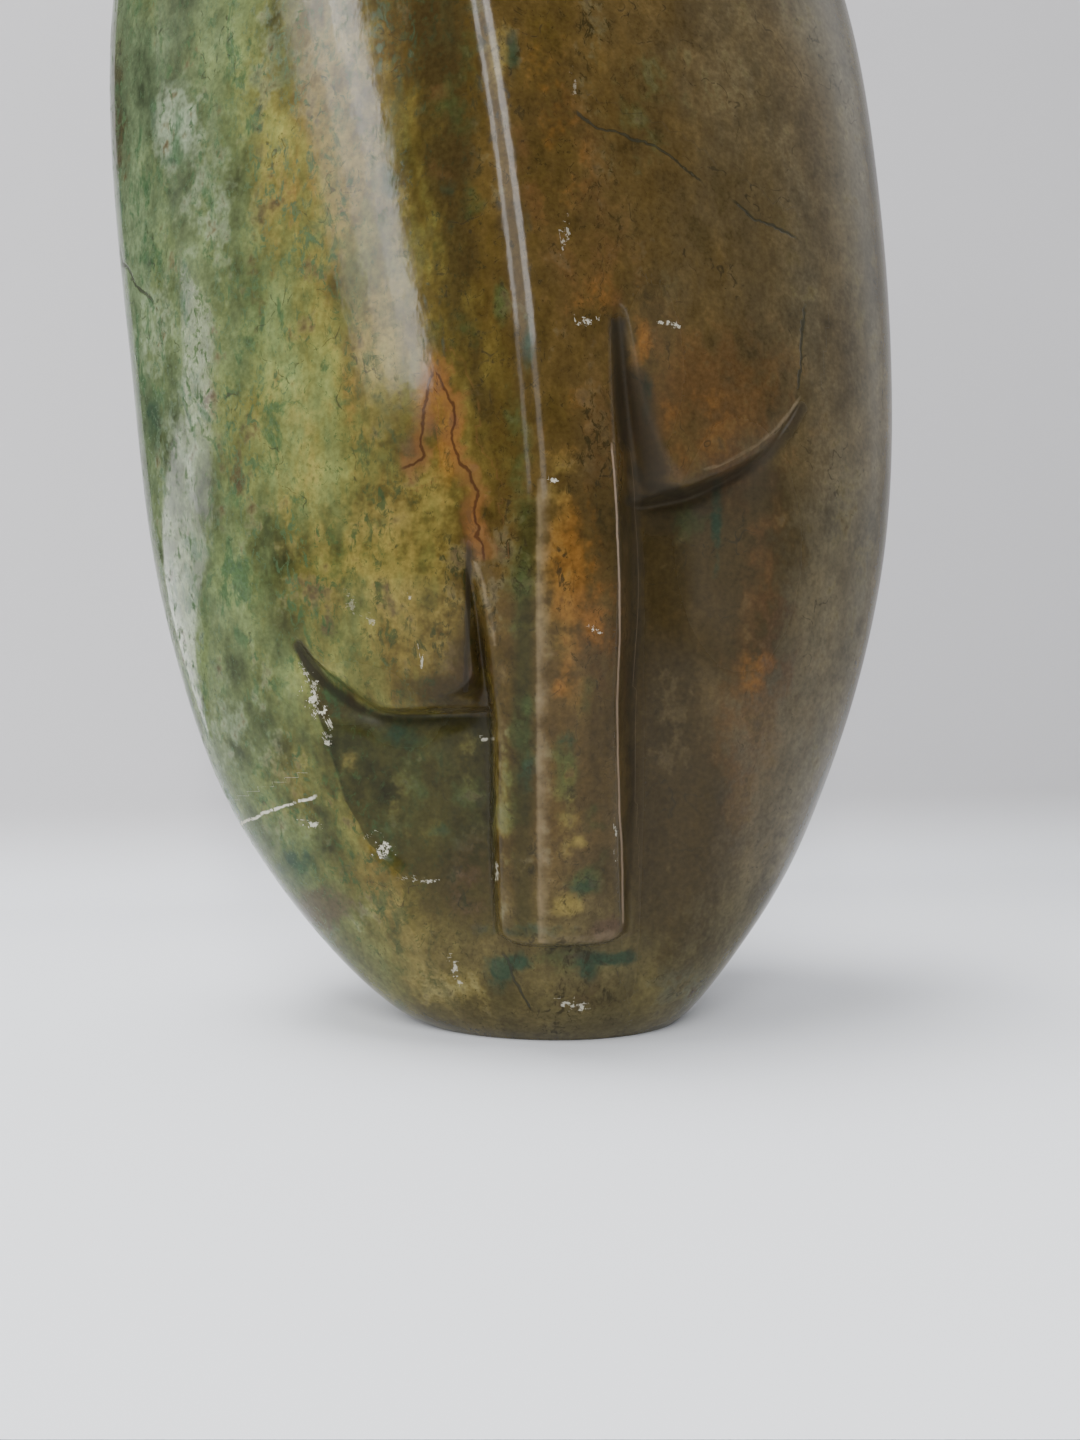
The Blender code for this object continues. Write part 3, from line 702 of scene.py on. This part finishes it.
def flat_cut_shade():
    """How dark the painted shade on the flat cut is at each point, inside its corners."""
    inside = np.zeros(len(carved), bool)
    for (x1, y1), (x2, y2) in zip(FLAT_CUT_CORNERS, FLAT_CUT_CORNERS[1:] + FLAT_CUT_CORNERS[:1]):
        if y1 != y2:
            spans = (y1 > seen[:, 1]) != (y2 > seen[:, 1])
            inside ^= spans & (seen[:, 0] < x1 + (x2 - x1) * (seen[:, 1] - y1) / (y2 - y1))
    return FLAT_CUT_DARK * inside * on_the_way(seen[:, 1], *FLAT_CUT_FADE) * facing


def distance_to(run):
    """How far each point is from a run of pixels, sideways with its sign, past the run's ends, and in all."""
    far = np.full(len(carved), np.inf)
    sideways, past = far.copy(), far.copy()
    for start, end in zip(np.array(run, float), np.array(run, float)[1:]):
        length = np.linalg.norm(end - start)
        along_it = (end - start) / length
        step = seen - start
        forward = step @ along_it
        aside = step @ np.array((-along_it[1], along_it[0]))
        over = np.maximum(np.maximum(-forward, forward - length), 0)
        near = np.hypot(aside, over) < far
        far[near] = np.hypot(aside, over)[near]
        sideways[near] = aside[near]
        past[near] = over[near]
    return sideways, past, far


def line_place(width, runs):
    """How far each point lies across the nearest line, in half widths, and whether it is beside one."""
    place_of = np.tile((FAR_OFF, 0.0, 0.0), (len(carved), 1))
    best = np.full(len(carved), LINE_REACH * width)
    for run in runs:
        sideways, past, far = distance_to(run)
        near = (far < best) & facing
        best[near] = far[near]
        place_of[near, 0] = sideways[near] / width
        place_of[near, 1] = np.clip(LINE_END - past[near] / LINE_FADE, 0, 1)
    return place_of


def band_strength(bands):
    """How strongly a kind of band shows at each point, fading from the middle of each band."""
    strength = np.zeros(len(carved))
    for width, most, run in bands:
        strength = np.maximum(strength, most * np.clip(BAND_BODY - distance_to(run)[2] / width, 0, 1))
    return strength * facing


def crest_highlight():
    """How pale the painted highlight along the nose's crest is at each point, to the right of its run."""
    sideways, past, _ = distance_to(NOSE_CREST)
    rising = np.clip(-sideways / NOSE_CREST_RISE, 0, 1)
    fading = np.clip(NOSE_CREST_BODY + sideways / NOSE_CREST_FADE, 0, 1)
    return NOSE_CREST_PALE * rising * fading * (past < NOSE_CREST_PAST) * facing


def below_and_above():
    """How far each point lies below the worn surface around it, and how far above it."""
    smooth = bare.copy()
    below = np.zeros(bare.shape[:2])
    above = np.zeros(bare.shape[:2])
    for passes in np.diff((0, *SMOOTH_LEVELS)):
        smooth = relaxed(smooth, passes)
        below = np.maximum(below, bare[:, :, 1] - smooth[:, :, 1])
        above = np.maximum(above, smooth[:, :, 1] - bare[:, :, 1])
    values = np.zeros((2, len(carved)))
    values[:, on_skin] = below[ring[on_skin], column[on_skin]], above[ring[on_skin], column[on_skin]]
    return np.clip(values / EDGE_HEIGHT, 0, 1)


def keep(name, values):
    """Stores one value for each point of the stone, for its material to read."""
    kind = "FLOAT_VECTOR" if values.ndim == 2 else "FLOAT"
    layer = stone.data.attributes.new(name, kind, "POINT")
    layer.data.foreach_set("vector" if values.ndim == 2 else "value", values.ravel())


chip_at = np.tile((FAR_OFF, FAR_OFF, 0.0), (len(carved), 1))
nearest = np.full(len(carved), CHIP_REACH)
dent = np.zeros(len(carved))
for across, down, wide, tall, pale, depth in CHIPS:
    offset = (seen - (across, down)) / (wide, tall)
    far = np.hypot(*offset.T)
    dent = np.maximum(dent, depth / TENTHS_OF_MM * np.clip(1 - far, 0, 1) ** CHIP_HOLLOW * facing)
    near = (far < nearest) & facing
    chip_at[near, :2] = offset[near]
    chip_at[near, 2] = pale / TENTHS
    nearest[near] = far[near]
rough = np.array([noise.noise(Vector(point) / CHIP_GRAIN) for point in carved])
carved -= normals * (dent * (1 + CHIP_ROUGH * rough))[:, None]

keep("chip_at", chip_at)
for kind, patches in PATCHES.items():
    keep(kind, patch_strength(patches))
for kind, line_values in LINES.items():
    keep(kind, line_place(*line_values))
below, above = below_and_above()
# The flat cut and the nose's left face get painted shade; the hollows get dark wax with painted shade; the
# edges get wear with painted highlights.
keep("shade", np.maximum(flat_cut_shade(), band_strength(NOSE_SHADE_BANDS)))
keep("wax_and_shade", np.maximum(below * HOLLOW_WAX_AND_SHADE, band_strength(WAX_AND_SHADE_BANDS)))
keep("worn", np.maximum.reduce([above * EDGE_WEAR_AND_HIGHLIGHT, band_strength(HIGHLIGHT_BANDS), crest_highlight()]))

stone.data.vertices.foreach_set("co", carved.ravel())
stone.data.update()
stone.data.shade_smooth()
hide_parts("stone_face")
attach(stone, "root")

# The stone itself.
# Green on its left and brown on its right, mottled, flecked and veined all through, and brought up with
# wax. The pattern runs through the block, so it carries on round the sides and over the top. Painted shade
# and painted highlights from the marks are laid into its colour as well.
looks = bpy.data.materials.new("polished_stone_looks")
looks.use_nodes = True
tree = looks.node_tree
shader = tree.nodes["Principled BSDF"]
stone.data.materials.clear()
stone.data.materials.append(looks)

# The clouds that its pattern is made of: how fine, how many finer layers, how rough, how far swirled, and
# how far drawn out upwards, where 1 is not at all.
CLOUDS = {
    "broad": (17, 3, 0.6, 0, 0.6),
    "fibre": (85, 4, 0.72, 0, 0.45),
    "ragged": (190, 3, 0.65, 0, 1),
    "mottle": (62, 4, 0.66, 0, 0.7),
    "stain": (150, 5, 0.72, 0.5, 0.6),
    "flecks": (560, 4, 0.72, 0.8, 0.62),
    "scribble": (330, 3, 0.6, 0.6, 0.7),
    "grain": (1000, 2, 0.6, 0, 1),
    "hair": (62, 3, 0.55, 0, 1),
    "chipped": (900, 3, 0.8, 0, 1),
    "relief": (420, 2, 0.6, 0, 0.6),
}
# The stone from its left to its right: how far across, then its colour. The two palest stops on the right
# also paint in the sheen along the right side.
STONE_ACROSS = (
    (0.06, (0.062, 0.083, 0.041)),
    (0.2, (0.081, 0.1, 0.034)),
    (0.28, (0.09, 0.088, 0.022)),
    (0.345, (0.078, 0.058, 0.013)),
    (0.41, (0.046, 0.03, 0.007)),
    (0.49, (0.06, 0.038, 0.011)),
    (0.6, (0.054, 0.037, 0.014)),
    (0.72, (0.062, 0.047, 0.023)),
    (0.9, (0.076, 0.066, 0.041)),
)
# The patches, each laid over those before it: colour, and how much it covers. The pale one also paints
# sheen and reflection, and the umber one also paints shade.
PATCH_COLOURS = {
    "pale": ((0.2, 0.24, 0.16, 1), 0.7),
    "ochre": ((0.19, 0.145, 0.036, 1), 0.6),
    "umber_and_shade": ((0.026, 0.018, 0.006, 1), 0.8),
    "rust": ((0.066, 0.034, 0.012, 1), 0.75),
    "moss": ((0.03, 0.048, 0.014, 1), 0.75),
    "orange": ((0.18, 0.076, 0.014, 1), 0.54),
    "teal": ((0.01, 0.03, 0.017, 1), 0.8),
    "plum": ((0.05, 0.026, 0.02, 1), 0.6),
}
# Two colours are for the brown side and the green side, or for the darkest and the palest grain.
FOOT = (0.09, 0.08, 0.03, 1)
FLAT_CUT_SHADE = (0.024, 0.023, 0.006, 1)
STAIN = (0.03, 0.02, 0.006, 1), (0.02, 0.056, 0.022, 1)
FLECK = (0.02, 0.016, 0.006, 1), (0.026, 0.056, 0.018, 1)
HAIR_CRACK = (0.018, 0.016, 0.009, 1)
CRACK = (0.018, 0.018, 0.01, 1)
VEIN = (0.03, 0.012, 0.006, 1)
VEIN_HALO = (0.13, 0.056, 0.02, 1)
DARK_WAX_AND_SHADE = (0.016, 0.013, 0.008, 1)
WORN_AND_HIGHLIGHT = (0.22, 0.17, 0.1, 1)
EDGE_HIGHLIGHT = (0.33, 0.24, 0.17, 1)
RAW_STONE = (0.3, 0.28, 0.2, 1), (0.62, 0.6, 0.5, 1)


def node(kind, values=(), **settings):
    """A node of the material in hand. A value is a number, a colour or another node's output."""
    made = tree.nodes.new("ShaderNode" + kind)
    for name, setting in settings.items():
        setattr(made, name, setting)
    for socket, value in dict(values).items():
        if isinstance(value, bpy.types.NodeSocket):
            tree.links.new(value, made.inputs[socket])
        else:
            made.inputs[socket].default_value = value
    return made


def math_of(operation, a, b=0.0, c=0.0):
    return node("Math", {0: a, 1: b, 2: c}, operation=operation).outputs[0]


def times(a, b):
    return math_of("MULTIPLY", a, b)


def times_plus(a, b, c):
    return math_of("MULTIPLY_ADD", a, b, c)


def off_middle(value):
    """A cloud's value as a swing to either side of 0."""
    return math_of("SUBTRACT", value, 0.5)


def mixed(share, one, other, blend="MIX"):
    return node("Mix", {0: share, 6: one, 7: other}, data_type="RGBA", blend_type=blend,
                clamp_factor=True).outputs[2]


def shaded(colour, light):
    """The colour made darker or lighter."""
    return mixed(1.0, colour, node("CombineColor", {0: light, 1: light, 2: light}).outputs[0], "MULTIPLY")


def cut(value, low, high):
    """0 below low, 1 above high, and smooth between."""
    return node("MapRange", {0: value, 1: low, 2: high}, interpolation_type="SMOOTHSTEP").outputs[0]


def clouds(name):
    scale, layers, roughness, swirl, drawn = CLOUDS[name]
    at = place if drawn == 1 else node("Mapping", {"Vector": place, "Scale": (1, 1, drawn)}).outputs[0]
    return node("TexNoise", {"Vector": at, "Scale": scale, "Detail": layers, "Roughness": roughness,
                             "Distortion": swirl}).outputs["Fac"]


def kept(name, output="Fac"):
    return node("Attribute", attribute_name=name).outputs[output]


def parts(name):
    """The three numbers of a value kept for each point."""
    return node("SeparateXYZ", {0: kept(name, "Vector")}).outputs


def line(name, fray):
    """How much of a vein, crack, scratch or painted edge highlight shows: 1 along it."""
    sideways, beside, _ = parts(name)
    return times(cut(math_of("ABSOLUTE", times_plus(ragged, fray, sideways)), 1.0, 0.3), beside)


place = node("TexCoord").outputs["Object"]
across, _, up = node("SeparateXYZ", {0: place}).outputs
fibre, mottle, flecks, grain = (clouds(name) for name in ("fibre", "mottle", "flecks", "grain"))
ragged = off_middle(clouds("ragged"))
green_side = cut(across, -0.005, -0.05)

# It changes from green to brown in drawn-out strands, and is paler towards its foot.
strand = times_plus(across, 5.0, 0.5)
strand = times_plus(off_middle(clouds("broad")), 0.42, strand)
strand = times_plus(off_middle(fibre), 0.34, strand)
band = node("ValToRGB", {0: strand})
stops = band.color_ramp.elements
while len(stops) < len(STONE_ACROSS):
    stops.new(0.5)
for element, (stop, tint) in zip(stops, STONE_ACROSS):
    element.position = stop
    element.color = (*tint, 1)
colour = mixed(times(cut(up, 0.045, 0.012), 0.5), band.outputs["Color"], FOOT)

# Painted shade: the left cheek's flat cut and bands down the nose's left face are coloured a darker green,
# where they lie in shade.
colour = mixed(kept("shade"), colour, FLAT_CUT_SHADE)

# Mottling: lighter and darker clouds of the same stone, and freckles.
colour = shaded(colour, times_plus(off_middle(mottle), times_plus(green_side, 2.2, 1.6), 1.0))
colour = shaded(colour, times_plus(ragged, 1.3, 1.0))

# Patches of other stone, and of painted sheen and painted shade, with ragged edges.
for name, (tint, cover) in PATCH_COLOURS.items():
    share = times_plus(ragged, 2.2, kept(name))
    share = times_plus(off_middle(fibre), 2.0, share)
    colour = mixed(times(cut(share, 0.2, 1.05), cover), colour, tint)

# Stains: dark smudges, stronger towards the left.
stain = times(cut(clouds("stain"), 0.52, 0.62), cut(mottle, 0.44, 0.56))
stain = times(stain, times_plus(cut(across, 0.025, -0.05), 0.6, 0.1))
colour = mixed(stain, colour, mixed(green_side, *STAIN))

# Flecks: small dark specks and curls, drawn out upwards and crowded together in places.
crowd = times_plus(green_side, 0.05, fibre)
fleck = times(cut(flecks, 0.52, 0.62), cut(crowd, 0.48, 0.6))
curl = cut(math_of("ABSOLUTE", off_middle(clouds("scribble"))), 0.016, 0.004)
curl = times(curl, cut(flecks, 0.5, 0.54))
fleck = math_of("MAXIMUM", fleck, times(curl, 0.8))
fleck = times(fleck, times_plus(cut(across, 0.035, 0.005), 0.85, 0.15))
colour = mixed(times(fleck, 0.85), colour, mixed(green_side, *FLECK))
colour = shaded(colour, node("MapRange", {0: grain, 1: 0.3, 2: 0.7, 3: 0.8, 4: 1.2}).outputs[0])

# Hair cracks, short and scattered.
hair = cut(math_of("ABSOLUTE", off_middle(clouds("hair"))), 0.007, 0.002)
hair = times(hair, times(cut(mottle, 0.5, 0.56), cut(flecks, 0.46, 0.52)))
colour = mixed(times(hair, 0.6), colour, HAIR_CRACK)

# Dark wax and painted shade in the hollows, under the eyelids and under the nose, and paler edges, where
# hands have worn them and where painted highlights lie along lit edges and the nose's crest.
hollows = cut(times_plus(ragged, 0.5, kept("wax_and_shade")), 0.12, 0.8)
colour = mixed(times(hollows, 0.82), colour, DARK_WAX_AND_SHADE)
worn = cut(times_plus(ragged, 0.9, kept("worn")), 0.15, 0.85)
colour = mixed(times(worn, 0.55), colour, WORN_AND_HIGHLIGHT)

# The rusty veins in their orange stone, the painted highlight along the nose's crisp edge, and the long cracks.
sideways, beside, _ = parts("vein_at")
halo = times(cut(math_of("ABSOLUTE", times_plus(ragged, 21.0, sideways)), 7.5, 1.3), beside)
colour = mixed(times(halo, 0.48), colour, VEIN_HALO)
colour = mixed(times(line("vein_at", 6.5), 0.78), colour, VEIN)
colour = mixed(times(line("edge_highlight_at", 1.5), 0.55), colour, EDGE_HIGHLIGHT)
crack = line("crack_at", 7.0)
colour = mixed(times(crack, 0.8), colour, CRACK)

# Chips and scratches show the raw pale stone.
beside_chip, above_chip, how_pale = parts("chip_at")
chip_far = math_of("SQRT", math_of("ADD", times(beside_chip, beside_chip), times(above_chip, above_chip)))
chip_far = times_plus(off_middle(clouds("chipped")), 6.5, chip_far)
chip = times(times(cut(chip_far, 0.7, 0.3), cut(how_pale, 0.05, 0.15)), how_pale)
scratch = times(line("scratch_at", 5.0), cut(flecks, 0.4, 0.5))
raw = math_of("MAXIMUM", chip, scratch)
colour = mixed(raw, colour, mixed(grain, *RAW_STONE))
tree.links.new(colour, shader.inputs["Base Color"])

# The polish: smooth on the faces, and duller on the right side, in the specks, the hollows and the chips.
polish = times_plus(fibre, 0.09, 0.038)
for dull, most in (
    (cut(across, 0.028, 0.06), 0.15),
    (times(fleck, times_plus(cut(across, -0.04, -0.054), 0.42, 0.1)), 1.0),
    (stain, 0.1),
    (hollows, 0.3),
    (kept("dull"), 0.55),
    (crack, 0.2),
    (raw, 0.5),
):
    polish = times_plus(dull, most, polish)
tree.links.new(math_of("MINIMUM", polish, 0.85), shader.inputs["Roughness"])
shader.inputs["IOR"].default_value = 1.23

# The polish is faintly uneven, and sinks into the cracks and chips.
relief = times(clouds("relief"), 0.17)
relief = times_plus(crack, -0.4, relief)
relief = times_plus(raw, -0.5, relief)
bump = node("Bump", {"Strength": 1.0, "Distance": 0.0001, "Height": relief})
tree.links.new(bump.outputs["Normal"], shader.inputs["Normal"])

# The stage: a pale sheet that lies under the stone and bends up close behind it. It shows from its front
# only, so the back of the stone can be looked at too.
SHEET_FRONT = -3.0
SHEET_SIDE = 3.0
SHEET_LEFT = -0.26
SHEET_TOP = 2.2
SHEET_BACK = 0.06
SWEEP_START = 0.105
SWEEP_RADIUS = 0.035
SWEEP_STEPS = 24
SWEEP_TURN = math.radians(13)
# Its two colours, where it lies and where it stands, and how high it has changed from one to the other. The
# darker colour where it stands is painted shade.
FLOOR = (0.78, 0.8, 0.84, 1)
WALL = (0.6, 0.59, 0.6, 1)
WALL_START = 0.035
bpy.ops.object.select_all(action="DESELECT")
bpy.ops.mesh.primitive_plane_add(size=1, location=(0, 0, 0))
sheet = bpy.context.object
sheet.name = "pale_sheet"
profile = [(SHEET_FRONT, 0.0), (SWEEP_START, 0.0)]
for step in range(1, SWEEP_STEPS + 1):
    bend = math.radians(90) * step / SWEEP_STEPS
    profile.append((SWEEP_START + SWEEP_RADIUS * math.sin(bend), SWEEP_RADIUS * (1 - math.cos(bend))))
profile.append((SWEEP_START + SWEEP_RADIUS, SHEET_TOP))
corners, sides = [], []
for step, (back, rise) in enumerate(profile):
    for side in (-SHEET_SIDE if rise == 0 else SHEET_LEFT, SHEET_SIDE):
        corners.append((side, back, rise))
    if step:
        sides.append((2 * step - 2, 2 * step - 1, 2 * step + 1, 2 * step))
sheet.data.clear_geometry()
sheet.data.from_pydata(corners, [], sides)
sheet.data.shade_smooth()
sheet.data.transform(Matrix.Rotation(SWEEP_TURN, 4, "Z") @ Matrix.Translation((0, SHEET_BACK, 0)))
paper = bpy.data.materials.new("pale_paper")
paper.use_nodes = True
tree = paper.node_tree
shader = tree.nodes["Principled BSDF"]
paper_rise = node("SeparateXYZ", {0: node("TexCoord").outputs["Object"]}).outputs[2]
tree.links.new(mixed(cut(paper_rise, 0.0, WALL_START), FLOOR, WALL), shader.inputs["Base Color"])
shader.inputs["Roughness"].default_value = 0.9
shader.inputs["IOR"].default_value = 1.2
from_behind = node("NewGeometry").outputs["Backfacing"]
clear = node("BsdfTransparent").outputs[0]
one_sided = node("MixShader", {0: from_behind, 1: shader.outputs[0], 2: clear})
tree.links.new(one_sided.outputs[0], tree.nodes["Material Output"].inputs["Surface"])
sheet.data.materials.append(paper)

# The camera stands close in front of the stone, level with its lower third.
lens = bpy.data.cameras.new("camera")
lens.sensor_fit = "VERTICAL"
lens.sensor_height = 36
lens.lens = FOCAL_PIXELS / FRAME_HEIGHT * lens.sensor_height
camera = bpy.data.objects.new("camera", lens)
camera.location = EYE
camera.rotation_euler = (math.radians(90), 0, 0)
bpy.context.scene.collection.objects.link(camera)
bpy.context.scene.camera = camera

# Plain soft light from above, from wide screens on the left and on the right, and from a few tall narrow
# windows, which show in the polish. Each panel: name, how far it is turned to the right of the front and
# risen above level, how far away, how wide, how tall and how bright it is, how far it leans, and how far
# its light spreads. Angles are in degrees, and the sizes are those seen from the face.
FACE_POINT = Vector((0, -0.05, 0.15))
PANELS = (
    ("overhead", -78, 76, 1.5, 34, 30, 1.5, 0, 40),
    ("left_screen", -64, 25, 1.2, 42, 58, 0.8, 8, 180),
    ("left_window", -84.1, 8.8, 1.1, 8.5, 16.9, 7.0, -21, 180),
    ("left_window_foot", -106.3, -3.8, 1.1, 13.1, 39.2, 7.0, -70, 180),
    ("front_left_window", -45, 27.5, 1.3, 3.2, 36, 23, 19, 180),
    ("front_left_window_glow", -48.6, 27.5, 1.31, 3.6, 36, 14, 19.5, 180),
    ("front_left_window_edge", -52.6, 27.5, 1.32, 4, 36, 7, 20, 180),
    ("ridge_window_left", -9, 33, 1.2, 4, 32, 20, 9, 180),
    ("ridge_window_left_foot", -6.5, 9.5, 1.2, 4, 15, 6, 9, 180),
    ("ridge_window_middle", -1.5, 32, 1.21, 10, 34, 5.2, 9, 180),
    ("ridge_window_right", 6.5, 33, 1.2, 6, 32, 22, 9, 180),
    ("ridge_window_right_foot", 9, 9.5, 1.2, 6, 15, 6.5, 9, 180),
    ("right_rear_screen", 118, 20, 1.2, 24, 64, 1.7, 0, 180),
    ("right_screen", 101, 20, 1.21, 10, 64, 1.3, 0, 180),
    ("right_screen_fade", 91, 18, 1.22, 10, 64, 0.9, 0, 180),
    ("right_screen_edge", 81, 16, 1.23, 10, 64, 0.45, 0, 180),
)
for name, turned, risen, away, wide, tall, brightness, lean, spread in PANELS:
    turned, risen = math.radians(turned), math.radians(risen)
    towards = Vector((math.sin(turned) * math.cos(risen), -math.cos(turned) * math.cos(risen), math.sin(risen)))
    light = bpy.data.lights.new(name, "AREA")
    light.shape = "RECTANGLE"
    light.size = 2 * away * math.tan(math.radians(wide / 2))
    light.size_y = 2 * away * math.tan(math.radians(tall / 2))
    light.energy = brightness * math.pi * light.size * light.size_y
    light.spread = math.radians(spread)
    panel = bpy.data.objects.new(name, light)
    panel.location = FACE_POINT + towards * away
    turn = (-towards).to_track_quat("-Z", "Y") @ Quaternion((0, 0, 1), math.radians(lean))
    panel.rotation_euler = turn.to_euler()
    bpy.context.scene.collection.objects.link(panel)

world = bpy.data.worlds.new("studio")
bpy.context.scene.world = world
world.use_nodes = True
world.node_tree.nodes["Background"].inputs["Color"].default_value = (0.9, 0.94, 1.0, 1)
world.node_tree.nodes["Background"].inputs["Strength"].default_value = 0.14
